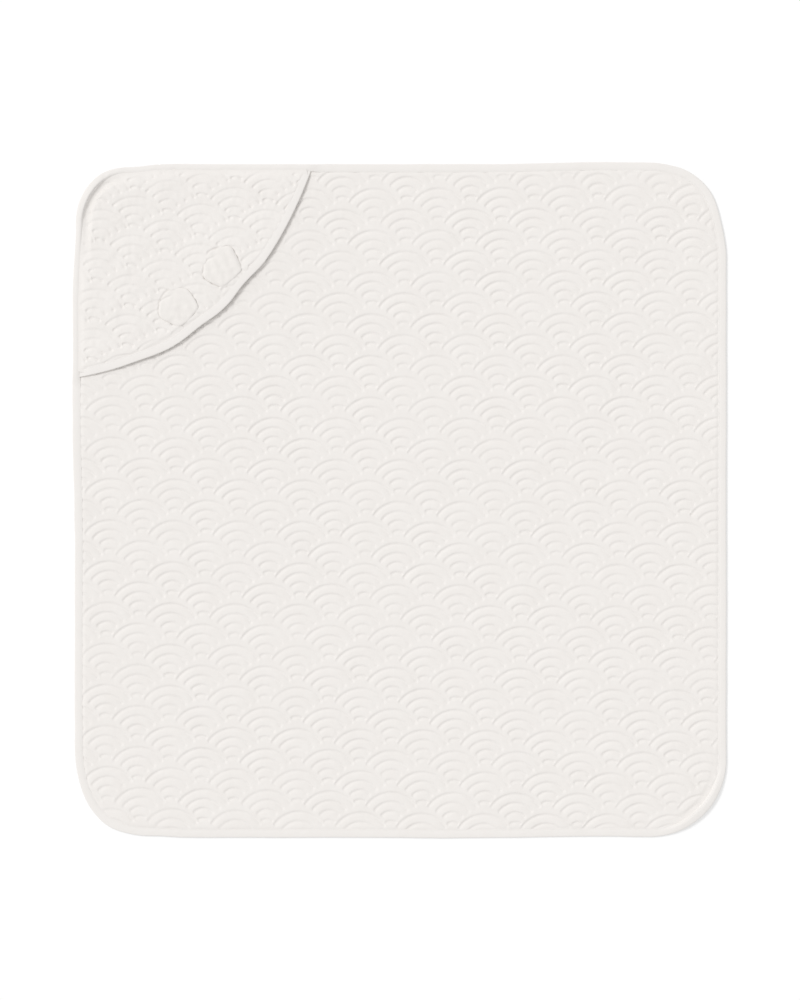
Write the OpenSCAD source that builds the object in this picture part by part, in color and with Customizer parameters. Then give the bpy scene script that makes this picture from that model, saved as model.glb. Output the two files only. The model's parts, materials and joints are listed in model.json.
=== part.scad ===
// Hooded baby towel, lying open and flat: a square quilted towel with a bound edge, a
// triangular hood across one corner and two small ears on the hood.
// The towel rests on z = 0, with its hood in the (-X, +Y) corner. Units are millimetres.

/* [Towel] */
// Width of the towel, along X
towel_width = 782; // [700:1:900]
// Length of the towel, along Y
towel_length = 808; // [700:1:950]
// Corner radius at the hood
hood_corner_r = 70; // [50:1:110]
// Corner radius right of the hood
right_corner_r = 90; // [50:1:110]
// Corner radius below the hood
left_corner_r = 92; // [50:1:110]
// Corner radius opposite the hood
far_corner_r = 86; // [50:1:110]

/* [Quilted fabric] */
// Thickness of each jersey layer
skin_t = 0.7; // [0.5:0.1:1]
// Thickness of the wadding between the layers
wadding_t = 1.9; // [1.6:0.1:3]
// Gap left between two layers that touch
layer_gap = 0.05; // [0.02:0.01:0.08]

/* [Binding] */
// Width of the bias binding that shows on each face
binding_w = 10; // [8:0.5:14]
// Thickness of the folded tape on each side of the fabric
binding_wall = 0.8; // [0.6:0.1:0.8]
// Width of the tape that folds round the outside of the edge
binding_fold = 2.5; // [2:0.1:3]
// Width of the thicker roll where the binding also takes in the hood
roll_w = 7.5; // [6:0.1:8]
// Distance from the towel's edge to the line of stitching
stitch_inset = 8.7; // [8.2:0.1:9]
// Thickness of the sewing thread
thread_d = 0.6; // [0.3:0.1:0.8]

/* [Hood] */
// Length of the hood's seam down the left edge
hood_left_leg = 255.5; // [220:0.5:300]
// Length of the hood's seam along the top edge
hood_top_leg = 285; // [240:0.5:320]
// How far the middle of the free edge bows out past a straight line
hood_bulge = 50; // [30:1:60]
// Clearance between the towel and the hood, and between the hood and the ears
pocket_gap = 0.4; // [0.3:0.1:1]

/* [Ears] */
// Length of an ear from its seam to its tip
ear_length = 45; // [35:1:50]
// Widest part of an ear
ear_width = 46; // [38:1:48]
// Width of an ear at its seam
ear_base_w = 32; // [24:1:34]
// Distance between the middles of the two ears
ear_spacing = 70.5; // [60:0.5:90]
// How far the pair sits from the middle of the hood, towards the left edge
ear_shift = 7; // [0:1:15]
// Distance from an ear's seam to the straight line between the hood's ends
ear_setback = 33.5; // [25:0.5:34]
// Length of soft fabric left free beside the seam
ear_root = 2; // [1.5:0.1:3]
// Thickness of the ear's fabric
ear_skin_t = 0.6; // [0.4:0.1:0.8]
// Thickness of the ear's wadding
ear_wadding_t = 1.2; // [0.8:0.1:2]

/* [Hidden] */
$fn = 180;

// Colours
cloth = [0.93, 0.91, 0.88];
tape = [0.96, 0.95, 0.93];
fill = [0.97, 0.97, 0.96];
thread = [0.88, 0.86, 0.82];

// The quilted fabric, seen as a stack from its underside up
panel_t = 2 * skin_t + wadding_t + 2 * layer_gap;
mid_z = panel_t / 2;
tongue_t = 0.45;                                // each layer, pressed flat in the binding
tongue_inset = binding_fold + 0.5;              // where the layers end inside the binding
riser_w = 2;                                    // where a layer drops from full height
slot_t = panel_t - 2 * binding_wall;
sewn_gap = 0.1;                                 // between the tape's edge and the fabric

// The hood's position
hood_z = panel_t + pocket_gap;
hood_left_end = [-towel_width / 2 + binding_w, towel_length / 2 - hood_left_leg];
hood_top_end = [-towel_width / 2 + hood_top_leg, towel_length / 2 - binding_w];
hood_run = hood_top_end - hood_left_end;
hood_mid = (hood_left_end + hood_top_end) / 2;
hood_angle = atan2(hood_run[1], hood_run[0]);
hood_r = (pow(norm(hood_run) / 2, 2) + pow(hood_bulge, 2)) / (2 * hood_bulge);
hood_inset = binding_w + 0.5;                   // hood's sewn sides stop clear of the binding
roll_overrun = 8;                               // thick roll runs a little past the hood
roll_t = panel_t - 0.2;                         // height of the roll above the binding

// The ears' position
ear_z = hood_z + panel_t + pocket_gap;
ear_t = 2 * ear_skin_t + ear_wadding_t + 2 * layer_gap;
ear_shoulder = 17;                              // from the seam to the widest straight part
ear_rim = 1.5;                                  // seam that closes the ear all round
tack_count = 5;
tack_length = 2.4;

// A flat shape with the towel's outline, drawn in from its edge
module towel_outline(inset) {
    x = towel_width / 2 - inset;
    y = towel_length / 2 - inset;
    tl = hood_corner_r - inset;
    tr = right_corner_r - inset;
    bl = left_corner_r - inset;
    br = far_corner_r - inset;
    polygon([
        [-x, y - tl], [-x, -y + bl], [-x + bl, -y], [x - br, -y],
        [x, -y + br], [x, y - tr], [x - tr, y], [-x + tl, y]
    ]);
    translate([-x + tl, y - tl]) circle(r = tl);
    translate([x - tr, y - tr]) circle(r = tr);
    translate([-x + bl, -y + bl]) circle(r = bl);
    translate([x - br, -y + br]) circle(r = br);
}

module towel_ring(outer_inset, inner_inset) {
    difference() {
        towel_outline(outer_inset);
        towel_outline(inner_inset);
    }
}

// Places its children with x along the hood's free edge and y towards the hood's corner
module hood_frame() {
    translate(hood_mid) rotate(hood_angle) children();
}

// A flat shape with the hood's outline, drawn in from its curved free edge
module hood_outline(edge_inset, side_inset = 0) {
    intersection() {
        towel_outline(hood_inset + side_inset);
        hood_frame() translate([0, hood_r - hood_bulge]) circle(r = hood_r - edge_inset);
    }
}

module hood_band(outer_inset, inner_inset) {
    difference() {
        hood_outline(outer_inset);
        hood_outline(inner_inset, -1);
    }
}

module slab(z, t) {
    translate([0, 0, z]) linear_extrude(height = t) children();
}

// One outer layer of the towel: full height inside the binding, thinner in its slot.
// side is -1 for the lower layer and +1 for the upper one.
module towel_skin(side) {
    outside = mid_z + side * panel_t / 2;
    tongue_in = mid_z + side * (tongue_t / 2 + layer_gap);
    tongue_out = tongue_in + side * tongue_t;
    plate_in = outside - side * skin_t;
    slab(min(outside, plate_in), skin_t) towel_outline(binding_w + sewn_gap);
    slab(min(outside, tongue_in), abs(outside - tongue_in))
        towel_ring(binding_w + sewn_gap, binding_w + riser_w);
    slab(min(tongue_in, tongue_out), tongue_t)
        towel_ring(tongue_inset, binding_w + riser_w);
}

module body_face_fabric() {
    color(cloth) towel_skin(1);
}

module body_backing_fabric() {
    color(cloth) towel_skin(-1);
}

module body_wadding() {
    color(fill) {
        slab(skin_t + layer_gap, wadding_t) towel_outline(binding_w + riser_w + sewn_gap);
        slab(mid_z - tongue_t / 2, tongue_t)
            towel_ring(tongue_inset, binding_w + riser_w + 1);
    }
}

// Both legs of the hood's seam, where the binding wraps the towel and the hood together
module hood_seam_zone() {
    reach = 2 * binding_w;
    left_len = hood_left_leg + roll_overrun;
    top_len = hood_top_leg + roll_overrun;
    translate([-towel_width / 2 - 1, towel_length / 2 - left_len])
        square([hood_corner_r + reach, left_len + 1]);
    translate([-towel_width / 2 - 1, towel_length / 2 - hood_corner_r - reach])
        square([top_len + 1, hood_corner_r + reach + 1]);
}

module edge_binding() {
    color(tape) {
        difference() {
            slab(0, panel_t) towel_ring(0, binding_w);
            slab(mid_z - slot_t / 2, slot_t) towel_ring(binding_fold, binding_w + 1);
        }
        slab(panel_t - 0.1, roll_t + 0.1) intersection() {
            towel_ring(0, roll_w);
            hood_seam_zone();
        }
    }
}

module edge_binding_stitching() {
    color(thread) slab(panel_t, thread_d / 2)
        towel_ring(stitch_inset, stitch_inset + thread_d);
}

// One outer layer of the hood, thinner where it enters the binding of the free edge
module hood_skin(side) {
    outside = mid_z + side * panel_t / 2;
    tongue_in = mid_z + side * (tongue_t / 2 + layer_gap);
    tongue_out = tongue_in + side * tongue_t;
    plate_in = outside - side * skin_t;
    translate([0, 0, hood_z]) {
        slab(min(outside, plate_in), skin_t) hood_outline(binding_w + sewn_gap);
        slab(min(outside, tongue_in), abs(outside - tongue_in))
            hood_band(binding_w + sewn_gap, binding_w + riser_w);
        slab(min(tongue_in, tongue_out), tongue_t)
            hood_band(tongue_inset, binding_w + riser_w);
    }
}

module hood_outer_fabric() {
    color(cloth) hood_skin(1);
}

module hood_lining() {
    color(cloth) hood_skin(-1);
}

module hood_wadding() {
    color(fill) translate([0, 0, hood_z]) {
        slab(skin_t + layer_gap, wadding_t) hood_outline(binding_w + riser_w + sewn_gap);
        slab(mid_z - tongue_t / 2, tongue_t)
            hood_band(tongue_inset, binding_w + riser_w + 1);
    }
}

module hood_edge_binding() {
    color(tape) translate([0, 0, hood_z]) difference() {
        slab(0, panel_t) hood_band(0, binding_w);
        slab(mid_z - slot_t / 2, slot_t) difference() {
            hood_outline(binding_fold, -1);
            hood_outline(binding_w + 1, -2);
        }
    }
}

module hood_edge_binding_stitching() {
    color(thread) slab(hood_z + panel_t, thread_d / 2)
        hood_band(stitch_inset, stitch_inset + thread_d);
}

// Places its children at an ear's seam: x along the seam, y towards the ear's tip
module ear_frame(side) {
    hood_frame() translate([side * ear_spacing / 2 - ear_shift, -ear_setback]) children();
}

// A rounded ear that widens from its seam to a nearly round top, cut straight at its seam
module ear_outline(inset) {
    r = ear_width / 2;
    top_y = ear_length - r;
    base = ear_base_w / 2 - inset;
    shoulder = r * cos(asin((top_y - ear_shoulder) / r)) - inset;
    polygon([
        [-base, ear_root + inset], [base, ear_root + inset],
        [shoulder, ear_shoulder], [-shoulder, ear_shoulder]
    ]);
    intersection() {
        translate([0, top_y]) circle(r = r - inset);
        translate([-r, ear_shoulder]) square([2 * r, ear_length]);
    }
}

// The back is a flat piece; the front closes down to it around the wadding
module ear_back(side) {
    color(cloth) ear_frame(side) slab(ear_z, ear_skin_t) ear_outline(0);
}

module ear_wadding(side) {
    color(fill) ear_frame(side)
        slab(ear_z + ear_skin_t + layer_gap, ear_wadding_t) ear_outline(ear_rim + sewn_gap);
}

module ear_front(side) {
    rim_z = ear_z + ear_skin_t + layer_gap;
    color(cloth) ear_frame(side) {
        slab(ear_z + ear_t - ear_skin_t, ear_skin_t) ear_outline(0);
        slab(rim_z, ear_wadding_t + layer_gap + 0.1) difference() {
            ear_outline(0);
            ear_outline(ear_rim);
        }
    }
}

// Short tacking stitches on the hood, just behind the ear's seam
module ear_stitches(side) {
    pitch = ear_base_w / tack_count;
    color(thread) ear_frame(side)
        for (i = [0 : tack_count - 1])
            translate([(i - (tack_count - 1) / 2) * pitch, -tack_length / 2 - 0.5])
                slab(hood_z + panel_t, thread_d / 2)
                    square([thread_d, tack_length], center = true);
}

module left_ear_front() ear_front(-1);
module left_ear_wadding() ear_wadding(-1);
module left_ear_back() ear_back(-1);
module left_ear_stitches() ear_stitches(-1);
module right_ear_front() ear_front(1);
module right_ear_wadding() ear_wadding(1);
module right_ear_back() ear_back(1);
module right_ear_stitches() ear_stitches(1);

body_face_fabric();
body_wadding();
body_backing_fabric();
edge_binding();
edge_binding_stitching();
hood_outer_fabric();
hood_wadding();
hood_lining();
hood_edge_binding();
hood_edge_binding_stitching();
left_ear_front();
left_ear_wadding();
left_ear_back();
left_ear_stitches();
right_ear_front();
right_ear_wadding();
right_ear_back();
right_ear_stitches();
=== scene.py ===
import json
import math

import bpy
import numpy as np
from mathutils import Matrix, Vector


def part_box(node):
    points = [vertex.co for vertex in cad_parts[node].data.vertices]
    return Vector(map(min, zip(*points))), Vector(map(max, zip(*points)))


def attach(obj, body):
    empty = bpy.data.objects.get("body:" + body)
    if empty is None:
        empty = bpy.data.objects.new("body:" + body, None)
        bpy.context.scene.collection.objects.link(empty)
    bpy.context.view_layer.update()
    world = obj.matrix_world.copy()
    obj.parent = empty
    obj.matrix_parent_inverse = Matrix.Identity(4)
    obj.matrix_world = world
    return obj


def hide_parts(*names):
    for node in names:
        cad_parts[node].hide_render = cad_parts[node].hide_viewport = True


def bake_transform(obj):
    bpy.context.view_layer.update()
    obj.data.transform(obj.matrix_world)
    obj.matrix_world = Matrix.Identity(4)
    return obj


# A hooded baby towel lying open and flat. Shapes are worked out in millimetres and written to
# the meshes in metres. The hood fills the (-X, +Y) corner.
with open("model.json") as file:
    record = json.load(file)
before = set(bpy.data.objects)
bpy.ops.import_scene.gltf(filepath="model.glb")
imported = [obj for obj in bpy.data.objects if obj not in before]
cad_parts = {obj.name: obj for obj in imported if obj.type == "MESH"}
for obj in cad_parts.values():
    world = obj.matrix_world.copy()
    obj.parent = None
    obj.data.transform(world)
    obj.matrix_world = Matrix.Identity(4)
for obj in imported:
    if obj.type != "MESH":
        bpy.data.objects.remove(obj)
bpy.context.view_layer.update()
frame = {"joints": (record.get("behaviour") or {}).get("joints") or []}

MM = 0.001

# ---------------------------------------------------------------- sizes, in millimetres
binding_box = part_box("edge_binding")
HALF_X = binding_box[1][0] / MM
HALF_Y = binding_box[1][1] / MM
# How far each corner is rounded; a corner is named by the signs of its x and y
CORNER_R = {(-1, 1): 70.0, (1, 1): 90.0, (1, -1): 93.0, (-1, -1): 92.0}
HOOD_CORNER = (-1, 1)   # the corner that the hood fills

TAPE_W = 10.0           # width of the binding on each face
STITCH_SHARE = 0.87     # where its stitching runs, as a share of that width
TOP_POINTS = 14         # how many of the points round its outline face up
TUCK = 4.0              # where the quilted layers end inside the binding
CELL = 0.9              # spacing of the points on the towel's face
BACK_CELL = 3.0         # and on its back
INNER_CELL = 14.0       # and on the hidden inner side of each layer

FACE_LOW = 2.55         # height of the stitched grooves in the towel's face
INNER_Z = 1.9           # where face and backing meet
UNDER_HOOD = 0.45       # how much loft is left in the towel beneath the hood

EDGE_PLAY = 70.0        # how far in from its edges the towel lies unevenly

HOOD_ALONG_TOP = 285.0  # how far the hood reaches along the towel's top side
HOOD_DOWN_LEFT = 255.5  # and down its left side
HOOD_LEFT_END = np.array([-HALF_X + TAPE_W, HALF_Y - HOOD_DOWN_LEFT])   # where its free edge starts
HOOD_TOP_END = np.array([-HALF_X + HOOD_ALONG_TOP, HALF_Y - TAPE_W])    # and where it ends
HOOD_BULGE = 50.0       # how far that edge bows out from the line between its ends
HOOD_DEPTH = 208.0      # from the hood's corner to the middle of its free edge
THICK_PAST = 13.0       # how far past the hood's ends the binding stays thick
THICK_BLEND = 18.0      # and over what length it then thins
CORNER_GAP = 14.0       # how far in the gap between binding and hood runs at the hood's corner
GAP_HALF = 6.0          # half its width
GAP_MIDDLE = 20.0       # how much nearer the towel's left side than its top the gap's middle lies
GAP_DOWN = 85.0         # how far it runs down the left side
GAP_ALONG = 78.0        # and along the top
GAP_DEPTH = 2.6         # how far the hood's outer layer is drawn down in it
GAP_DEPTH_MID = 1.5     # the middle of its layers
GAP_DEPTH_LINING = 1.0  # and its lining
HOOD_CELL = 0.9         # spacing of the points on the hood's face
HOOD_UNDER_CELL = 2.4   # on its lining
HOOD_INNER_CELL = 9.0   # and between the two
HOOD_UNDER = 4.1        # underside of the hood where it lies on the towel
HOOD_MID = 5.3          # where its outer layer and its lining meet
HOOD_LOW = 6.3          # height of the stitched grooves in the hood's face
HOOD_LIFT = 2.0         # how far the middle of its free edge stands off the towel

EAR_MIDDLE = 22.0       # from an ear's seam to its middle
EAR_CREASE = 36.0       # from an ear's seam to the crease near its tip
EAR_PAD = 1.9           # loft of an ear's padding
EAR_PRESS = 1.25        # how much of the hood's loft an ear presses down
PIT_DEPTH = 0.9         # depth of the small pits beside the ears
# Corners of each ear: along its seam, and from the seam towards its tip
EAR_CORNERS = {
    "left_ear": [(0, 42), (12, 38), (21, 29), (21, 18), (18, 5),
                 (11, 1), (-13, 0), (-20, 10), (-25, 25), (-17, 36)],
    "right_ear": [(-3, 43), (9, 41), (23, 33), (22, 20), (17, 5),
                  (11, 1), (-13, 1), (-19, 6), (-25, 24), (-19, 33)],
}
# Where the hood is drawn in beside each ear by the stitches beneath it
EAR_PITS = {
    "left_ear": [(22, 18), (20, 11), (18, 4), (-20, 9)],
    "right_ear": [(23, 25), (21, 17), (18, 6), (-25, 24), (-22, 14), (-19, 5)],
}
# How far the crease round each ear's tip runs along its seam's direction
EAR_TIPS = {"left_ear": (-19, 5), "right_ear": (-5, 15)}
# Each ear's pleats: height as a share of its loft, spacing, and where the first lies
EAR_PLEATS = {"left_ear": (0.10, 15.0, 1.0), "right_ear": (0.2, 12.5, 0.3)}


# ---------------------------------------------------------------- small tools
def smooth(t):
    """0 below 0, 1 above 1, and an even S between."""
    t = np.clip(t, 0.0, 1.0)
    return t * t * (3 - 2 * t)


def drift(x, y, scale, seed):
    """Soft seeded noise from -1 to 1 that changes over about scale millimetres."""
    size = 97
    table = np.random.default_rng(seed).uniform(-1, 1, (size, size))
    gx, gy = x / scale + 31.7, y / scale + 31.7
    ix, iy = np.floor(gx).astype(int), np.floor(gy).astype(int)
    fx, fy = smooth(gx - ix), smooth(gy - iy)
    ix, iy = ix % size, iy % size
    jx, jy = (ix + 1) % size, (iy + 1) % size
    low = table[iy, ix] * (1 - fx) + table[iy, jx] * fx
    high = table[jy, ix] * (1 - fx) + table[jy, jx] * fx
    return low * (1 - fy) + high * fy


def edge_distance(x, y):
    """How far a point lies inside the towel's outer edge."""
    d = np.minimum(HALF_X - np.abs(x), HALF_Y - np.abs(y))
    for (sx, sy), r in CORNER_R.items():
        dx = sx * x - (HALF_X - r)
        dy = sy * y - (HALF_Y - r)
        d = np.where((dx > 0) & (dy > 0), r - np.hypot(dx, dy), d)
    return d


def hump(t, centre, reach):
    """A smooth rise to 1 at centre that is 0 beyond reach on either side."""
    return 0.5 + 0.5 * np.cos(np.pi * np.clip((t - centre) / reach, -1, 1))


def lay_out(x, y):
    """The cloth as it lies: its edges wander a little from the straight lines they were cut to."""
    near_left = smooth(1 - (x + HALF_X) / EDGE_PLAY)
    near_right = smooth(1 - (HALF_X - x) / EDGE_PLAY)
    near_top = smooth(1 - (HALF_Y - y) / EDGE_PLAY)
    near_bottom = smooth(1 - (HALF_Y + y) / EDGE_PLAY)
    left = 2.6 * hump(y, 120, 200) + 1.4 * hump(y, 245, 80) - 1.3 * hump(y, 335, 70)
    left = left - 2.2 * hump(y, -335, 45)
    right = -4.0 * hump(y, 335, 45)
    top = 2.4 * hump(x, 250, 140) - 3.6 * hump(x, -325, 40) + 3.4 * hump(x, 365, 55)
    bottom = 0.8 * hump(x, 60, 90) - 1.2 * hump(x, 240, 130) - 2.0 * hump(x, -300, 40)
    bottom = bottom + 3.2 * hump(x, -357, 32)
    return x - left * near_left + right * near_right, y + top * near_top - bottom * near_bottom


# ---------------------------------------------------------------- the hood's own axes
hood_run = HOOD_TOP_END - HOOD_LEFT_END
hood_chord = float(np.hypot(*hood_run))
ALONG = hood_run / hood_chord                     # along the free edge
OUT = np.array([ALONG[1], -ALONG[0]])             # across it, away from the hood's corner
hood_middle = (HOOD_LEFT_END + HOOD_TOP_END) / 2
HOOD_R = ((hood_chord / 2) ** 2 + HOOD_BULGE**2) / (2 * HOOD_BULGE)
hood_centre = hood_middle + (HOOD_BULGE - HOOD_R) * OUT


def hood_axes(x, y):
    """A point's place along the hood's free edge and out from the line between its ends."""
    dx, dy = x - hood_middle[0], y - hood_middle[1]
    return dx * ALONG[0] + dy * ALONG[1], dx * OUT[0] + dy * OUT[1]


def free_edge_distance(x, y):
    """How far a point lies inside the hood's free edge. It is negative outside the hood."""
    return HOOD_R - np.hypot(x - hood_centre[0], y - hood_centre[1])


def hood_lift(x, y):
    """How far the hood stands up here: most at the middle of its free edge."""
    along, out = hood_axes(x, y)
    across = smooth((out + 75) / 125) ** 1.3
    span = np.clip(1 - (along / (hood_chord / 2 + 4)) ** 2, 0, 1)
    return HOOD_LIFT * across * span


def corner_share(x, y):
    """1 round the hood's corner, where the binding stands off the hood, and 0 away from it."""
    along = (x + HALF_X) - (HALF_Y - y) + GAP_MIDDLE
    fade = np.where(along < 0, GAP_DOWN, GAP_ALONG)
    near_edge = edge_distance(x, y) < 30
    return smooth(1.15 - np.abs(along) / fade) * near_edge


def corner_tuck(x, y):
    """1 along the gap between the binding and the hood at the hood's corner, where the layers
    are squeezed together."""
    return smooth(1.1 - np.abs(edge_distance(x, y) - CORNER_GAP) / GAP_HALF) * corner_share(x, y)


# ---------------------------------------------------------------- the quilting pattern
# Scallops in rows. Each has three arcs, one inside another, and a short one below them, given as
# radius, distance from the scallop's top down to the centre, and angle on each side of the top.
ARCS = [(35.2, 36.8, 54.0), (24.3, 37.0, 51.5), (15.0, 38.8, 45.0), (12.0, 47.6, 27.0)]


class Pattern:
    """Where the scallops' tops lie: u counts along a row, v counts rows, and odd rows are
    half a step along. The terms are those of 1, u, v, u*u, u*v and v*v. sway, if any, is how far
    the rows wander sideways."""

    def __init__(self, x_terms, y_terms, sway=None):
        self.x_terms = x_terms
        self.y_terms = y_terms
        self.sway = sway

    def place(self, u, v):
        basis = (1.0, u, v, u * u, u * v, v * v)
        x = sum(k * b for k, b in zip(self.x_terms, basis))
        y = sum(k * b for k, b in zip(self.y_terms, basis))
        return (x + self.sway(x, y), y) if self.sway else (x, y)

    def find(self, x, y):
        u, v = x / self.x_terms[1], y / self.y_terms[2]
        for _ in range(6):
            px, py = self.place(u, v)
            u = u + (x - px) / self.x_terms[1]
            v = v + (y - py) / self.y_terms[2]
        return u, v

    def turn(self, u):
        """Cosine and sine of the angle at which a scallop lies, which follows its row."""
        angle = np.arctan2(self.y_terms[1] + 2 * self.y_terms[3] * u, self.x_terms[1])
        return np.cos(angle), np.sin(angle)


def body_sway(x, y):
    """How far the rows of the towel's body wander sideways."""
    left = smooth((120 - x) / 300)
    right = smooth((x + 20) / 200)
    middle = 1.4 * hump(y, 120, 190) - (0.7 + 1.1 * left) * hump(y, -165, 135)
    return middle + 6.5 * left * hump(y, -400, 140) - 1.5 * right * hump(y, 400, 140)


BODY_PATTERN = Pattern(
    (-1.3, 76.45, 0.70, -0.08, 0.057, -0.002), (49.3, -0.21, 24.97, 0.065, 0.046, 0.006), body_sway
)
HOOD_PATTERN = Pattern((-235.7, 77.4, 1.2, 0, 0, 0), (355.5, -8.4, 23.8, 2.0, 0, 0))
BACK_PATTERN = Pattern((-1.3, 76.45, 0.70, 0, 0, 0), (49.3, -0.21, 24.97, 0, 0, 0))


def quilt_lines(x, y, pattern):
    """Distance from each point to the nearest quilting line, which side of that line it is on,
    from -1 inside the arc to 1 outside, and distance to the nearest line's end."""
    u, v = pattern.find(x, y)
    near = np.full(x.shape, 99.0)
    side = np.zeros(x.shape)
    tip = np.full(x.shape, 99.0)
    for row_step in (0, 1, 2):
        row = np.floor(v) + row_step
        half = np.where(row % 2 == 1, 0.5, 0.0)
        column = np.round(u - half)
        for column_step in (-1, 0, 1):
            cx, cy = pattern.place(column + column_step + half, row)
            c, s = pattern.turn(column + column_step + half)
            px, py = (x - cx) * c + (y - cy) * s, (y - cy) * c - (x - cx) * s
            for radius, drop, spread in ARCS:
                a = math.radians(spread)
                end_x, end_y = radius * math.sin(a), radius * math.cos(a)
                qy = py + drop
                end = np.hypot(np.abs(px) - end_x, qy - end_y)
                on_arc = np.abs(np.arctan2(px, qy)) <= a
                beyond = np.hypot(px, qy) - radius
                line = np.where(on_arc, np.abs(beyond), end)
                side = np.where(line < near, beyond / np.maximum(line, 0.05), side)
                near = np.minimum(near, line)
                tip = np.minimum(tip, end)
    return near, np.clip(side, -1, 1), tip


def loft(x, y, pattern, height, seed, end_pull=0.0, end_reach=4.0, crumple=1.0):
    """Height of the quilted cloth above its stitched grooves. Each puff is fullest just outside
    an arc, where it drops steeply to the stitches, and thins towards the next arc out."""
    near, side, tip = quilt_lines(x, y, pattern)
    pull = 1 + 0.3 * drift(x, y, 31, seed) + 0.25 * drift(x, y, 9, seed + 1)
    pull = pull + end_pull * np.exp(-((tip / end_reach) ** 2))
    groove = np.exp(-((near / (2.0 - 0.3 * side)) ** (2.3 + 0.3 * side)))
    lean = 0.12 * side * np.exp(-near / 5.0) * (1 - groove)
    pucker = 0.08 * drift(x, y, 4.5, seed + 2) + 0.12 * drift(x, y, 14, seed + 3)
    return height * (1.1 - groove * pull + lean + crumple * pucker)


def towel_top(x, y):
    """Height of the towel's face."""
    inside = edge_distance(x, y)
    pressed = smooth((inside - TAPE_W + 4.0) / 8.0)
    hood_cover = smooth((free_edge_distance(x, y) + 4) / 14)
    share = 1 - (1 - UNDER_HOOD) * hood_cover
    wave = 0.3 * drift(x, y, 90, 5) + 0.15 * drift(x, y, 38, 6)
    height = loft(x, y, BODY_PATTERN, 0.9, 11) + wave + 0.3
    return FACE_LOW + pressed * share * height * (1 - 0.8 * corner_tuck(x, y))


def towel_bottom(x, y):
    """Height of the towel's back: the puffs touch the floor, the grooves stand off it."""
    inside = edge_distance(x, y)
    pressed = smooth((inside - TAPE_W + 2.0) / 7.0)
    return np.clip(1.0 - pressed * loft(x, y, BACK_PATTERN, 0.95, 41), 0.02, None)


# ---------------------------------------------------------------- mesh helpers
def make_piece(name, points, faces, material, flat=None):
    """A smooth mesh object from points in millimetres. flat holds each point's place on the
    unrolled cloth, which the material's weave follows."""
    points = np.asarray(points, float).reshape(-1, 3)
    place = points if flat is None else np.asarray(flat, float).reshape(-1, 3)
    laid = np.column_stack([*lay_out(points[:, 0], points[:, 1]), points[:, 2]])
    mesh = bpy.data.meshes.new(name)
    mesh.from_pydata(laid * MM, [], faces)
    attribute = mesh.attributes.new("cloth_place", "FLOAT_VECTOR", "POINT")
    attribute.data.foreach_set("vector", (place * MM).astype(np.float32).ravel())
    mesh.polygons.foreach_set("use_smooth", [True] * len(mesh.polygons))
    mesh.materials.append(material)
    obj = bpy.data.objects.new(name, mesh)
    bpy.context.scene.collection.objects.link(obj)
    return obj


def grid_faces(rows, cols, start=0, flip=False):
    """Quads of a grid of points that is stored row by row."""
    g = start + np.arange(rows * cols).reshape(rows, cols)
    quads = np.stack([g[:-1, :-1], g[:-1, 1:], g[1:, 1:], g[1:, :-1]], -1).reshape(-1, 4)
    return (quads[:, ::-1] if flip else quads).tolist()


def grid_sides(rows, cols, start=0):
    """The four borders of a grid, in turn, each from corner to corner."""
    g = start + np.arange(rows * cols).reshape(rows, cols)
    return [g[0], g[:, -1], g[-1, ::-1], g[::-1, 0]]


def zip_faces(a, b):
    """Triangles that join two lines of points, which may have different counts."""
    faces, i, j = [], 0, 0
    while i < len(a) - 1 or j < len(b) - 1:
        if j == len(b) - 1 or (i < len(a) - 1 and (i + 1) / (len(a) - 1) <= (j + 1) / (len(b) - 1)):
            faces.append([a[i + 1], a[i], b[j]])
            i += 1
        else:
            faces.append([a[i], b[j], b[j + 1]])
            j += 1
    return faces


def shell(name, outer, inner, material, up=True):
    """A closed layer: a fine outer side, a coarse inner side and the rim that joins them."""
    rows, cols = outer.shape[:2]
    inner_rows, inner_cols = inner.shape[:2]
    start = rows * cols
    faces = grid_faces(rows, cols, flip=not up)
    faces += grid_faces(inner_rows, inner_cols, start, flip=up)
    for a, b in zip(grid_sides(rows, cols), grid_sides(inner_rows, inner_cols, start)):
        joined = zip_faces(a.tolist(), b.tolist())
        faces += joined if up else [f[::-1] for f in joined]
    points = np.concatenate([outer.reshape(-1, 3), inner.reshape(-1, 3)])
    return make_piece(name, points, faces, material)


def sweep(name, sections, material, flat, closed):
    """A tube through sections, an array of (stations, points round, 3)."""
    stations, around = sections.shape[:2]
    g = np.arange(stations * around).reshape(stations, around)
    if closed:
        g = np.concatenate([g, g[:1]])
    g = np.concatenate([g, g[:, :1]], 1)
    quads = np.stack([g[:-1, :-1], g[:-1, 1:], g[1:, 1:], g[1:, :-1]], -1).reshape(-1, 4)
    faces = quads.tolist()
    if not closed:
        faces += [g[0, :-1][::-1].tolist(), g[-1, :-1].tolist()]
    return make_piece(name, sections, faces, material, flat)


def stitches(name, centres, directions, material, length=2.2, thick=0.5):
    """Separate stitches of thread, each a short strand that is thin at both ends."""
    n = len(centres)
    d = directions / np.linalg.norm(directions, axis=1, keepdims=True)
    side = np.cross(d, [0.0, 0.0, 1.0])
    side /= np.linalg.norm(side, axis=1, keepdims=True)
    up = np.cross(side, d)
    rings = []
    for along, share, sink in ((-0.5, 0.35, -0.25), (0.0, 1.0, 0.0), (0.5, 0.35, -0.25)):
        r = thick / 2 * share
        middle = centres + d * (along * length) + up * sink
        rings.append(np.stack([middle + side * r, middle + up * r, middle - side * r, middle - up * r], 1))
    points = np.stack(rings, 1).reshape(-1, 3)
    base = [[r * 4 + k, r * 4 + (k + 1) % 4, r * 4 + 4 + (k + 1) % 4, r * 4 + 4 + k]
            for r in range(2) for k in range(4)]
    base += [[3, 2, 1, 0], [8, 9, 10, 11]]
    faces = (np.array(base)[None] + 12 * np.arange(n)[:, None, None]).reshape(-1, 4)
    return make_piece(name, points, faces.tolist(), material)


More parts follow.
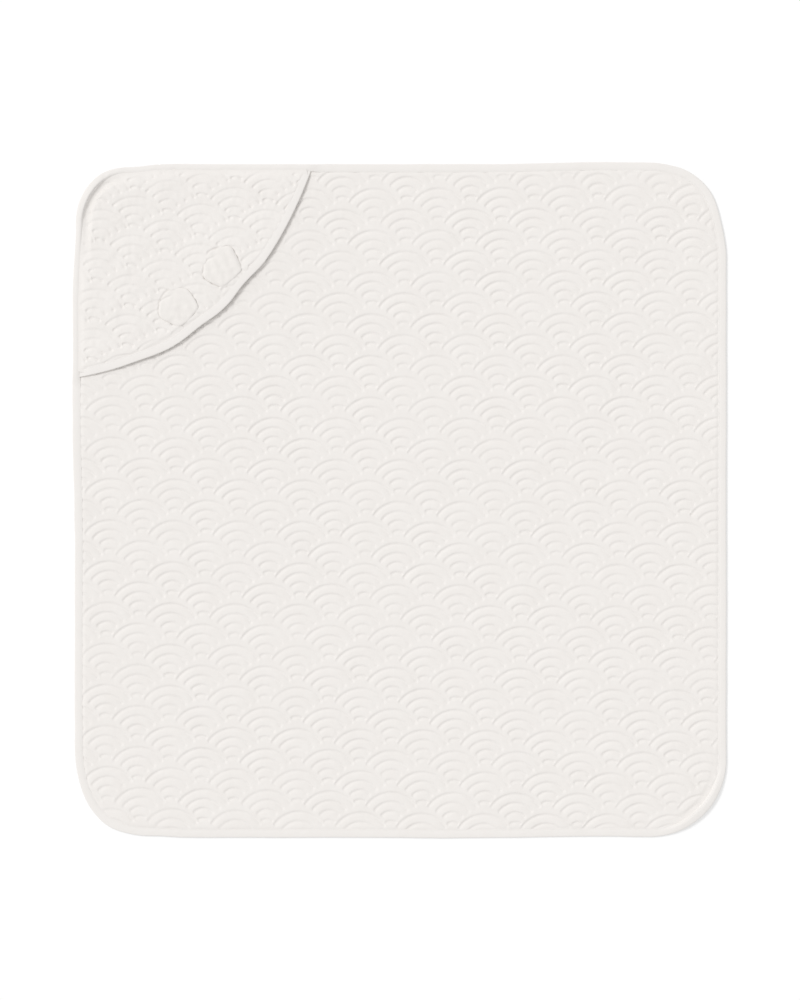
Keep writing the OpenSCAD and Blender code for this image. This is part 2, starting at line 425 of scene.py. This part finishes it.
# ---------------------------------------------------------------- materials
def cloth(name, colour, shade, grain, relief, rough=0.92, sheen=0.25):
    """Matt knitted cloth: a fine uneven grain, faint blotches of shade and a soft nap."""
    material = bpy.data.materials.new(name)
    material.use_nodes = True
    nodes, links = material.node_tree.nodes, material.node_tree.links
    surface = nodes["Principled BSDF"]
    surface.inputs["Roughness"].default_value = rough
    surface.inputs["Sheen Weight"].default_value = sheen
    surface.inputs["Sheen Roughness"].default_value = 0.6
    surface.inputs["Specular IOR Level"].default_value = 0.25

    place = nodes.new("ShaderNodeAttribute")
    place.attribute_name = "cloth_place"

    blotch = nodes.new("ShaderNodeTexNoise")
    blotch.inputs["Scale"].default_value = 42.0
    blotch.inputs["Detail"].default_value = 4.0
    links.new(place.outputs["Vector"], blotch.inputs["Vector"])
    tint = nodes.new("ShaderNodeValToRGB")
    tint.color_ramp.elements[0].position = 0.3
    tint.color_ramp.elements[0].color = (*shade, 1)
    tint.color_ramp.elements[1].position = 0.7
    tint.color_ramp.elements[1].color = (*colour, 1)
    links.new(blotch.outputs["Fac"], tint.inputs["Fac"])
    links.new(tint.outputs["Color"], surface.inputs["Base Color"])

    loops = nodes.new("ShaderNodeTexNoise")
    loops.inputs["Scale"].default_value = 1000.0 / grain
    loops.inputs["Detail"].default_value = 3.0
    loops.inputs["Roughness"].default_value = 0.65
    links.new(place.outputs["Vector"], loops.inputs["Vector"])
    bump = nodes.new("ShaderNodeBump")
    bump.inputs["Strength"].default_value = relief
    bump.inputs["Distance"].default_value = 0.0004
    links.new(loops.outputs["Fac"], bump.inputs["Height"])
    links.new(bump.outputs["Normal"], surface.inputs["Normal"])
    return material


JERSEY = cloth("quilted_jersey", (0.793, 0.764, 0.737), (0.779, 0.749, 0.721), 1.3, 0.55)
TAPE = cloth("binding_tape", (0.793, 0.766, 0.741), (0.780, 0.752, 0.725), 1.1, 0.4)
FLEECE = cloth("ear_fleece", (0.786, 0.757, 0.728), (0.774, 0.744, 0.714), 1.6, 0.6)
THREAD = cloth("sewing_thread", (0.81, 0.784, 0.758), (0.795, 0.768, 0.742), 0.5, 0.3, 0.6, 0.1)


# ---------------------------------------------------------------- the towel's body
def towel_grid(cell, height):
    """Points over the towel in rows that end at its rounded outline."""
    reach_y = HALF_Y - TUCK
    ys = np.linspace(-reach_y, reach_y, int(2 * reach_y / cell) + 1)
    ends = []
    for sx in (-1, 1):
        x = np.full(ys.shape, HALF_X - TUCK)
        for sy in (-1, 1):
            r = CORNER_R[(sx, sy)]
            dy = sy * ys - (HALF_Y - r)
            bow = HALF_X - r + np.sqrt(np.clip((r - TUCK) ** 2 - dy**2, 0, None))
            x = np.where(dy > 0, np.minimum(x, bow), x)
        ends.append(sx * x)
    t = np.linspace(0, 1, int(2 * (HALF_X - TUCK) / cell) + 1)
    x = ends[0][:, None] * (1 - t) + ends[1][:, None] * t
    y = np.repeat(ys[:, None], len(t), 1)
    return np.stack([x, y, height(x, y)], -1)


def flat_at(z):
    """A level surface."""
    return lambda x, y: np.full(x.shape, z)


face = shell("towel_face", towel_grid(CELL, towel_top), towel_grid(INNER_CELL, flat_at(INNER_Z)), JERSEY)
backing = shell(
    "towel_backing", towel_grid(BACK_CELL, towel_bottom), towel_grid(INNER_CELL, flat_at(INNER_Z - 0.05)),
    JERSEY, up=False,
)


# ---------------------------------------------------------------- the binding round the edge
def outline_path(step):
    """Points along the towel's outer edge, clockwise from the bottom of the left side, with
    the outward direction at each and the distance travelled."""
    points, normals = [], []
    corners = [((-1, 1), 180), ((1, 1), 90), ((1, -1), 0), ((-1, -1), -90)]
    for k, ((sx, sy), start) in enumerate(corners):
        (px, py), _ = corners[k - 1]
        r, before = CORNER_R[(sx, sy)], CORNER_R[(px, py)]
        here = np.array([sx * (HALF_X - r), sy * (HALF_Y - r)])
        last = np.array([px * (HALF_X - before), py * (HALF_Y - before)])
        n = np.array([math.cos(math.radians(start)), math.sin(math.radians(start))])
        a, b = last + before * n, here + r * n
        count = int(np.hypot(*(b - a)) / step)
        for t in np.linspace(0, 1, count, endpoint=False):
            points.append(a * (1 - t) + b * t)
            normals.append(n)
        for angle in np.linspace(start, start - 90, int(r * math.pi / 2 / step), endpoint=False):
            n = np.array([math.cos(math.radians(angle)), math.sin(math.radians(angle))])
            points.append(here + r * n)
            normals.append(n)
    points, normals = np.array(points), np.array(normals)
    gaps = np.hypot(*(np.roll(points, -1, 0) - points).T)
    travelled = np.concatenate([[0], np.cumsum(gaps)[:-1]])
    return points, normals, travelled


def tape_section(top, rest, low, width, floor, fall, slope=0.4):
    """A folded tape's outline at one station, as (inward, height) from its outer edge: over the
    top from its inner edge, round the fold, then back underneath. top is its greatest height,
    rest its height at the stitching, fall how far it comes down towards the fold, and slope the
    share of its width over which it climbs from the stitching."""
    shoulder = 0.8
    stitch_at = STITCH_SHARE * width
    middle = low + (top - fall - low) * 0.5
    loop = [(width, rest - 0.45), (width - 0.35, rest - 0.05), ((stitch_at + width) / 2, rest + 0.08)]
    loop.append((stitch_at, rest - 0.12))
    for t in (0.92, 0.78, 0.58, 0.38, 0.18, 0.0):
        inward = shoulder + t * (stitch_at - shoulder)
        height = rest + (top - rest) * smooth((1 - t) / slope) - fall * (1 - t) ** 2
        loop.append((inward, height + 0.08 * (t > 0.9)))
    for angle in (65, 40, 18, 0):
        a = math.radians(angle)
        loop.append((shoulder * (1 - math.cos(a)), middle + (top - fall - middle) * math.sin(a)))
    for angle in (30, 60, 90):
        a = math.radians(angle)
        loop.append((shoulder * (1 - math.cos(a)), middle - (middle - low) * math.sin(a)))
    loop += [(0.5 * width, low), (width - 0.5, low), (width, low + floor)]
    return loop


def tape(name, path, sections, closed, seed, wrinkle, raise_by=0.0):
    """Sweeps a folded tape along a path. sections holds one outline for each station."""
    points, normals, travelled = path
    inward, z = np.array(sections).transpose(2, 0, 1)
    on_top = np.arange(inward.shape[1]) < TOP_POINTS
    bend = np.sin(np.pi * np.clip(inward / (0.9 * inward.max()), 0, 1)) * on_top
    slant = travelled[:, None] + inward * 0.9
    crease = drift(slant, inward * 0 + seed, 5.5, seed) + 0.6 * drift(slant, inward * 0.5, 13, seed + 1)
    z = z + wrinkle[:, None] * bend * crease + np.asarray(raise_by).reshape(-1, 1)
    xy = points[:, None] - normals[:, None] * inward[..., None]
    flat = np.stack([travelled[:, None] + inward * 0, inward, z * 0], -1)
    return sweep(name, np.concatenate([xy, z[..., None]], -1), TAPE, flat, closed)


edge_points, edge_normals, edge_travelled = outline_path(1.5)
edge_waver = 0.5 * drift(edge_travelled, edge_travelled * 0, 85, 71) + 0.3 * drift(
    edge_travelled, edge_travelled * 0 + 9, 31, 72
)
edge_points = edge_points - edge_normals * np.abs(edge_waver)[:, None]
past_left_end = edge_points[:, 1] - HOOD_LEFT_END[1] + THICK_PAST
past_top_end = HOOD_TOP_END[0] + THICK_PAST - edge_points[:, 0]
left_or_round = edge_points[:, 0] < -HALF_X + CORNER_R[HOOD_CORNER] + 1
top_or_round = edge_points[:, 1] > HALF_Y - CORNER_R[HOOD_CORNER] - 1
beside_left = smooth(past_left_end / THICK_BLEND) * left_or_round
beside_top = smooth(past_top_end / THICK_BLEND) * top_or_round
beside_hood = np.maximum(beside_left, beside_top)
at_corner = corner_share(edge_points[:, 0], edge_points[:, 1])
# The binding is thicker beside the hood, whose seams it takes in, and stands up at the hood's corner
edge_top = 3.6 + 2.1 * beside_hood + 3.2 * at_corner
edge_rest = 3.25 + 1.75 * beside_hood - 1.2 * at_corner
edge_width = TAPE_W - 1.4 * beside_hood + 3.2 * at_corner
edge_fall = 0.35 + 1.1 * at_corner
edge_slope = 0.4 - 0.14 * at_corner
edge_sizes = zip(edge_top, edge_rest, edge_width, edge_fall, edge_slope)
edge_sections = [tape_section(t, r, 0.0, w, 1.0, f, s) for t, r, w, f, s in edge_sizes]
edge_path = (edge_points, edge_normals, edge_travelled)
edge_tape = tape("edge_binding_tape", edge_path, edge_sections, True, 21, 0.1 + 0.15 * beside_hood)


# ---------------------------------------------------------------- the hood
def arc_point(along):
    """The point of the hood's free edge at a place along its chord."""
    out = np.sqrt(HOOD_R**2 - along**2) - HOOD_R + HOOD_BULGE
    return hood_middle + np.multiply.outer(along, ALONG) + np.multiply.outer(out, OUT)


def seam_point(distance, inset):
    """The points of the hood's sewn sides at a distance from their left end, and the length of
    those sides."""
    r = CORNER_R[HOOD_CORNER] - inset
    cx, cy = -HALF_X + CORNER_R[HOOD_CORNER], HALF_Y - CORNER_R[HOOD_CORNER]
    side = cy - HOOD_LEFT_END[1]
    turn = r * math.pi / 2
    on_side = np.stack([np.full(distance.shape, cx - r), HOOD_LEFT_END[1] + distance], -1)
    angle = math.pi - (distance - side) / r
    on_turn = np.stack([cx + r * np.cos(angle), cy + r * np.sin(angle)], -1)
    on_top = np.stack([cx + distance - side - turn, np.full(distance.shape, cy + r)], -1)
    before_turn = (distance < side)[..., None]
    before_top = (distance < side + turn)[..., None]
    points = np.where(before_turn, on_side, np.where(before_top, on_turn, on_top))
    return points, side + turn + (HOOD_TOP_END[0] - cx)


def hood_grid(cell, height, seam_inset=7.0, edge_inset=4.0):
    """Points over the hood in lines from its sewn sides to its free edge."""
    _, seam_length = seam_point(np.zeros(1), seam_inset)
    t = np.linspace(0.012, 0.988, int(seam_length / cell))
    seam, _ = seam_point(t * seam_length, seam_inset)
    along = (t - 0.5) * hood_chord
    rim = arc_point(along)
    rim = rim - edge_inset * (rim - hood_centre) / HOOD_R
    across = np.linspace(0, 1, int(HOOD_DEPTH / cell))[:, None, None]
    xy = seam[None] * (1 - across) + rim[None] * across
    x, y = xy[..., 0], xy[..., 1]
    return np.stack([x, y, height(x, y)], -1)


# The ears' outlines, and how the hood is pressed beneath them
ear_pivots = {j["child"]: np.array(j["pos_m"]) / MM for j in frame["joints"] if "ear" in j["child"]}


def ear_axes(x, y, body):
    """A point seen from the middle of an ear's seam: along the seam, and towards its tip."""
    pivot = ear_pivots[body]
    dx, dy = x - pivot[0], y - pivot[1]
    return dx * ALONG[0] + dy * ALONG[1], -(dx * OUT[0] + dy * OUT[1])


def ear_reach(body):
    """An ear's outline as (angle, distance) about its middle, a smooth curve through its corners."""
    corners = np.array(EAR_CORNERS[body], float)
    curve = []
    for k in range(len(corners)):
        p0, p1, p2, p3 = (corners[(k + i) % len(corners)] for i in (-1, 0, 1, 2))
        for t in np.linspace(0, 1, 12, endpoint=False):
            curve.append(0.5 * (2 * p1 + (p2 - p0) * t + (2 * p0 - 5 * p1 + 4 * p2 - p3) * t**2
                                + (3 * p1 - p0 - 3 * p2 + p3) * t**3))
    curve = np.array(curve) - (0, EAR_MIDDLE)
    angle = np.arctan2(curve[:, 1], curve[:, 0])
    order = np.argsort(angle)
    return angle[order], np.hypot(*curve[order].T)


ear_outlines = {body: ear_reach(body) for body in ear_pivots}


def ear_inside(p, q, body):
    """How far a point lies inside an ear's outline. It is negative outside."""
    angle = np.arctan2(q - EAR_MIDDLE, p)
    reach = np.interp(angle, *ear_outlines[body], period=2 * math.pi)
    return reach - np.hypot(p, q - EAR_MIDDLE)


def ear_side(p, q):
    """1 beside an ear's two long sides, where it stands clear of the hood, and 0 at its tip and
    at its seam, where it blends into the hood."""
    across = np.abs(p) / np.maximum(np.hypot(p, q - EAR_MIDDLE), 1e-6)
    return smooth((across - 0.55) / 0.3)


def ear_press(x, y):
    """1 beneath an ear and 0 clear of it."""
    press = np.zeros(x.shape)
    for body in ear_pivots:
        p, q = ear_axes(x, y, body)
        inside = ear_inside(p, q, body)
        open_side = ear_side(p, q)
        press = np.maximum(press, smooth((inside + 2.4 * open_side - 0.8) / 2.6))
    return press


def ear_pits(x, y):
    """1 in the small pits beside the ears and in the creases round their tips, 0 clear of them."""
    depth = np.zeros(x.shape)
    for body, pits in EAR_PITS.items():
        p, q = ear_axes(x, y, body)
        first, last = EAR_TIPS[body]
        at_tip = smooth((q - 28) / 5) * smooth((p - first) / 4) * smooth((last - p) / 4)
        depth = depth + 1.2 * at_tip * np.exp(-(((ear_inside(p, q, body) + 0.7) / 1.4) ** 2))
        for pit_p, pit_q in pits:
            depth = depth + np.exp(-(((p - pit_p) / 1.5) ** 2) - ((q - pit_q) / 2.2) ** 2)
    return depth


def hood_base(x, y, squeeze=GAP_DEPTH):
    """Height of the hood's grooves: flat beside the seams, raised towards the free edge, and
    drawn down by squeeze in the gap at the corner."""
    near_seam = smooth((edge_distance(x, y) - 8) / 14)
    sag = 0.35 * drift(x, y, 55, 51) + 0.2 * drift(x, y, 22, 52)
    drop = 1.0 * (1 - near_seam) + squeeze * corner_tuck(x, y)
    return HOOD_LOW - drop + hood_lift(x, y) + near_seam * sag


def hood_top(x, y):
    """Height of the hood's face."""
    pressed = smooth((edge_distance(x, y) - TAPE_W + 3) / 8) * smooth((free_edge_distance(x, y) - 7) / 6)
    height = loft(x, y, HOOD_PATTERN, 0.62, 61, end_pull=1.1, end_reach=3.0, crumple=4.8) + 0.4
    height = height * (1 - EAR_PRESS * ear_press(x, y)) * (1 - 0.5 * corner_tuck(x, y))
    return hood_base(x, y) + pressed * height - PIT_DEPTH * ear_pits(x, y)


def hood_bottom(x, y):
    """Height of the hood's lining, seen from below."""
    pressed = smooth((edge_distance(x, y) - TAPE_W) / 7) * smooth((free_edge_distance(x, y) - 7) / 6)
    low = hood_base(x, y, GAP_DEPTH_LINING) - HOOD_LOW + HOOD_UNDER + 0.7
    return low - pressed * 0.5 * loft(x, y, HOOD_PATTERN, 1.1, 81)


def hood_inner(offset):
    """Height at which the hood's outer layer and its lining meet."""
    return lambda x, y: hood_base(x, y, GAP_DEPTH_MID) - HOOD_LOW + HOOD_MID + offset


hood_outer = shell(
    "hood_outer", hood_grid(HOOD_CELL, hood_top),
    hood_grid(HOOD_INNER_CELL, hood_inner(0.03)), JERSEY, up=False,
)
hood_lining = shell(
    "hood_lining_sheet", hood_grid(HOOD_UNDER_CELL, hood_bottom),
    hood_grid(HOOD_INNER_CELL, hood_inner(-0.03)), JERSEY,
)

free_along = np.linspace(-hood_chord / 2 - 3, hood_chord / 2 + 1, 380)
free_points = arc_point(free_along)
free_normals = (free_points - hood_centre) / HOOD_R
# How far the free edge runs outside a true arc, or inside it where this is negative
free_waver = 0.7 * hump(free_along, -140, 60) + 3.8 * hump(free_along, -80, 55)
free_waver += 1.9 * hump(free_along, -10, 40) - 2.6 * hump(free_along, 38, 36)
free_waver -= 2.4 * hump(free_along, 145, 105)
free_points = free_points + free_normals * free_waver[:, None]
free_travelled = np.concatenate([[0], np.cumsum(np.hypot(*np.diff(free_points, axis=0).T))])
free_lift = hood_base(*(free_points - 5 * free_normals).T) - HOOD_LOW
free_ends = smooth((hood_chord / 2 + 4 - np.abs(free_along)) / 16)
free_drop = 2.0 * (1 - free_ends)     # its ends are squeezed beneath the edge binding
free_sections = [tape_section(7.3 - drop, 7.0 - drop, 3.9, TAPE_W, 0.8, 0.0) for drop in free_drop]
free_path = (free_points, free_normals, free_travelled)
free_tape = tape("hood_edge_tape", free_path, free_sections, False, 31, 0.12 * free_ends, free_lift)


# ---------------------------------------------------------------- the ears
def make_ear(name, body, seed, spokes=150, rings=30):
    """A soft padded ear that lies on the hood with its tip towards the hood's corner."""
    pivot = ear_pivots[body]
    angle = np.linspace(-np.pi, np.pi, spokes, endpoint=False)
    reach = np.interp(angle, *ear_outlines[body], period=2 * math.pi)
    share = np.concatenate([np.linspace(0.04, 0.8, rings - 12), 1 - np.linspace(1, 0, 13)[1:] ** 1.6 * 0.2])
    p = share[:, None] * (reach * np.cos(angle))
    q = share[:, None] * (reach * np.sin(angle)) + EAR_MIDDLE
    x = pivot[0] + p * ALONG[0] - q * OUT[0]
    y = pivot[1] + p * ALONG[1] - q * OUT[1]
    rim = (1 - share)[:, None] * reach
    rounded = np.sqrt(np.clip(1 - (1 - np.clip(rim / 3.6, 0, 1)) ** 2, 0, 1))
    low_tip = 1 - 0.5 * smooth((q - 24) / 18)
    folds = 0.8 * drift(p * 1.5 + q * 0.7, q * 0.5 - p * 0.3, 9, seed)
    folds = folds + 0.5 * drift(p, q, 5, seed + 1)
    pleat_height, spacing, start_at = EAR_PLEATS[body]
    pleats = pleat_height * np.sin(2 * np.pi * ((p - 0.27 * q) / spacing + start_at)) * smooth(q / 14)
    crease = np.exp(-(((q - EAR_CREASE + 0.3 * p) / 1.4) ** 2)) * smooth((8 - p) / 14)
    tucked = 1 - ear_side(p, q)
    base = hood_base(x, y) + 0.15
    soft = EAR_PAD * low_tip * rounded * (1 + 0.36 * folds + pleats - 0.85 * crease)
    upper = np.stack([x, y, base + 0.15 + soft + 0.45 * tucked * (1 - rounded)], -1)
    lower = np.stack([x, y, base - 0.15 * rounded], -1)[:-1]
    start, under = rings * spokes, (rings - 1) * spokes
    points = np.concatenate([upper.reshape(-1, 3), lower.reshape(-1, 3)])
    points = np.concatenate([points, upper[:1].mean(1), lower[:1].mean(1)])
    faces = []
    for first, count, flip in ((0, rings, False), (start, rings - 1, True)):
        g = first + np.arange(count * spokes).reshape(count, spokes)
        g = np.concatenate([g, g[:, :1]], 1)
        quads = np.stack([g[:-1, :-1], g[1:, :-1], g[1:, 1:], g[:-1, 1:]], -1).reshape(-1, 4)
        faces += (quads[:, ::-1] if flip else quads).tolist()
        hub = start + under + int(flip)
        fan = [[hub, a, b] for a, b in zip(g[0, :-1].tolist(), g[0, 1:].tolist())]
        faces += [f[::-1] for f in fan] if flip else fan
    rim_top = list(range(start - spokes, start)) + [start - spokes]
    rim_low = list(range(start + under - spokes, start + under)) + [start + under - spokes]
    faces += [[rim_top[k], rim_low[k], rim_low[k + 1], rim_top[k + 1]] for k in range(spokes)]
    return make_piece(name, points, faces, FLEECE)


left_ear = make_ear("left_ear_pad", "left_ear", 3)
right_ear = make_ear("right_ear_pad", "right_ear", 8)


# ---------------------------------------------------------------- thread
def quilting_stitches(name, pattern, height, keep, pitch=3.1):
    """The thread of the quilting, one short strand for each stitch, lying in its groove."""
    centres, directions = [], []
    limit_u, limit_v = 7, 19     # enough columns and rows to reach past the towel's edges
    for row in range(-limit_v, limit_v + 1):
        for column in range(-limit_u, limit_u + 1):
            u = column + (0.5 if row % 2 else 0.0)
            top_x, top_y = pattern.place(u, row)
            c, s = pattern.turn(u)
            for radius, drop, spread in ARCS:
                length = 2 * math.radians(spread) * radius
                angles = np.linspace(-0.94, 0.94, int(length / pitch) + 1) * math.radians(spread)
                lx, ly = radius * np.sin(angles), radius * np.cos(angles) - drop
                x, y = top_x + lx * c - ly * s, top_y + lx * s + ly * c
                dx, dy = np.cos(angles), -np.sin(angles)
                centres.append(np.stack([x, y], -1))
                directions.append(np.stack([dx * c - dy * s, dx * s + dy * c, 0 * dx], -1))
    centres, directions = np.concatenate(centres), np.concatenate(directions)
    used = keep(centres[:, 0], centres[:, 1])
    centres, directions = centres[used], directions[used]
    z = height(centres[:, 0], centres[:, 1])
    return stitches(name, np.column_stack([centres, z]), directions, THREAD, thick=0.4)


def row_stitches(name, points, height, pitch=3.2, closed=False):
    """A line of machine stitching along a path."""
    steps = np.hypot(*np.diff(points, axis=0, append=points[:1] if closed else points[-1:]).T)
    travelled = np.concatenate([[0], np.cumsum(steps)[:-1]])
    marks = np.arange(0, travelled[-1], pitch)
    x, y = np.interp(marks, travelled, points[:, 0]), np.interp(marks, travelled, points[:, 1])
    z = np.interp(marks, travelled, height)
    ahead = np.stack([np.gradient(x), np.gradient(y), np.gradient(z)], -1)
    return stitches(name, np.stack([x, y, z], -1), ahead, THREAD, length=2.4, thick=0.55)


def on_towel(x, y):
    """Where the quilting of the towel's face shows."""
    return (edge_distance(x, y) > TAPE_W + 1.5) & (free_edge_distance(x, y) < -1.0)


def on_hood(x, y):
    """Where the quilting of the hood shows."""
    return ((edge_distance(x, y) > TAPE_W + 1.5) & (free_edge_distance(x, y) > TAPE_W + 1.5)
            & (ear_press(x, y) < 0.2))


towel_quilting = quilting_stitches("towel_quilting_thread", BODY_PATTERN, towel_top, on_towel)
hood_quilting = quilting_stitches("hood_quilting_thread", HOOD_PATTERN, hood_top, on_hood)

edge_stitch_path = edge_points - edge_normals * (edge_width * STITCH_SHARE)[:, None]
edge_stitching = row_stitches("edge_tape_stitching", edge_stitch_path, edge_rest - 0.1, closed=True)
free_stitch_path = free_points - free_normals * (TAPE_W * STITCH_SHARE)
free_stitch_height = 6.8 + free_lift - free_drop
free_stitching = row_stitches("hood_tape_stitching", free_stitch_path[8:-8], free_stitch_height[8:-8])


def ear_tacks(name, body):
    """Tacking stitches across the base of an ear."""
    pivot = ear_pivots[body]
    p = np.linspace(-12, 12, 5)
    x, y = pivot[0] + p * ALONG[0] + 0.8 * OUT[0], pivot[1] + p * ALONG[1] + 0.8 * OUT[1]
    z = hood_base(x, y) + 1.0
    ahead = np.repeat(np.append(OUT, 0.0)[None], len(p), 0)
    return stitches(name, np.stack([x, y, z], -1), ahead, THREAD, length=3.0, thick=0.6)


left_tacks = ear_tacks("left_ear_tacks", "left_ear")
right_tacks = ear_tacks("right_ear_tacks", "right_ear")


# ---------------------------------------------------------------- what the towel's pieces and the ears' tacks ride on
def bend_with_hood(obj):
    """Writes the piece's place into its mesh; it is attached to no body and does not lift with the hood."""
    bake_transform(obj)


def fold_at_seam(obj):
    """Writes the ear's place into its mesh; it is attached to no body and does not turn about its seam."""
    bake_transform(obj)


for piece in (face, backing, edge_tape, edge_stitching, towel_quilting):
    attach(piece, "towel")
for piece in (hood_outer, hood_lining, free_tape, free_stitching, hood_quilting):
    bend_with_hood(piece)
for piece in (left_tacks, right_tacks):
    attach(piece, "hood")
fold_at_seam(left_ear)
fold_at_seam(right_ear)

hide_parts("body_face_fabric", "body_wadding")
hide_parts("body_backing_fabric")
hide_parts("edge_binding")
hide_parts("edge_binding_stitching")
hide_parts("hood_outer_fabric", "hood_wadding")
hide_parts("hood_lining")
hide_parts("hood_edge_binding")
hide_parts("hood_edge_binding_stitching")
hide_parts("left_ear_front", "left_ear_wadding", "left_ear_back")
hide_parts("right_ear_front", "right_ear_wadding", "right_ear_back")
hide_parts("left_ear_stitches")
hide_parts("right_ear_stitches")


# ---------------------------------------------------------------- the stage, light and camera
def make_floor():
    """A wide white floor just beneath the towel."""
    mesh = bpy.data.meshes.new("floor")
    half = 6.0
    corners = [(-half, -half, 0), (half, -half, 0), (half, half, 0), (-half, half, 0)]
    mesh.from_pydata(corners, [], [(0, 1, 2, 3)])
    floor = bpy.data.objects.new("floor", mesh)
    bpy.context.scene.collection.objects.link(floor)
    floor.location.z = -0.0003
    material = bpy.data.materials.new("white_sweep")
    material.use_nodes = True
    surface = material.node_tree.nodes["Principled BSDF"]
    surface.inputs["Base Color"].default_value = (0.6, 0.6, 0.6, 1)
    surface.inputs["Roughness"].default_value = 1.0
    surface.inputs["Specular IOR Level"].default_value = 0.0
    surface.inputs["Emission Color"].default_value = (1, 1, 1, 1)
    surface.inputs["Emission Strength"].default_value = 0.35
    mesh.materials.append(material)


def make_key(azimuth, elevation, strength, softness):
    """A soft key light; azimuth is the direction it comes from, anticlockwise from +X."""
    lamp = bpy.data.lights.new("key", "SUN")
    lamp.energy = strength
    lamp.angle = math.radians(softness)
    obj = bpy.data.objects.new("key", lamp)
    a, e = math.radians(azimuth), math.radians(elevation)
    source = Vector((math.cos(a) * math.cos(e), math.sin(a) * math.cos(e), math.sin(e)))
    obj.rotation_mode = "QUATERNION"
    obj.rotation_quaternion = source.to_track_quat("Z", "Y")
    bpy.context.scene.collection.objects.link(obj)


def make_world(strength):
    """Even white light from all round."""
    world = bpy.data.worlds.new("studio")
    world.use_nodes = True
    background = world.node_tree.nodes["Background"]
    background.inputs["Color"].default_value = (1.0, 1.0, 1.0, 1)
    background.inputs["Strength"].default_value = strength
    bpy.context.scene.world = world


def make_camera():
    """Straight above, with a long lens; the frame is 1.2 m tall at the floor."""
    frame_height, lens, sensor = 1.2, 135.0, 36.0
    data = bpy.data.cameras.new("camera")
    data.lens = lens
    data.sensor_width = sensor
    data.clip_end = 50.0
    camera = bpy.data.objects.new("camera", data)
    camera.location = (-0.0006, 0.0009, frame_height * lens / sensor)
    bpy.context.scene.collection.objects.link(camera)
    bpy.context.scene.camera = camera


make_floor()
make_key(azimuth=149, elevation=50, strength=1.45, softness=20)
make_world(0.76)
make_camera()
bpy.context.scene.view_settings.view_transform = "Standard"
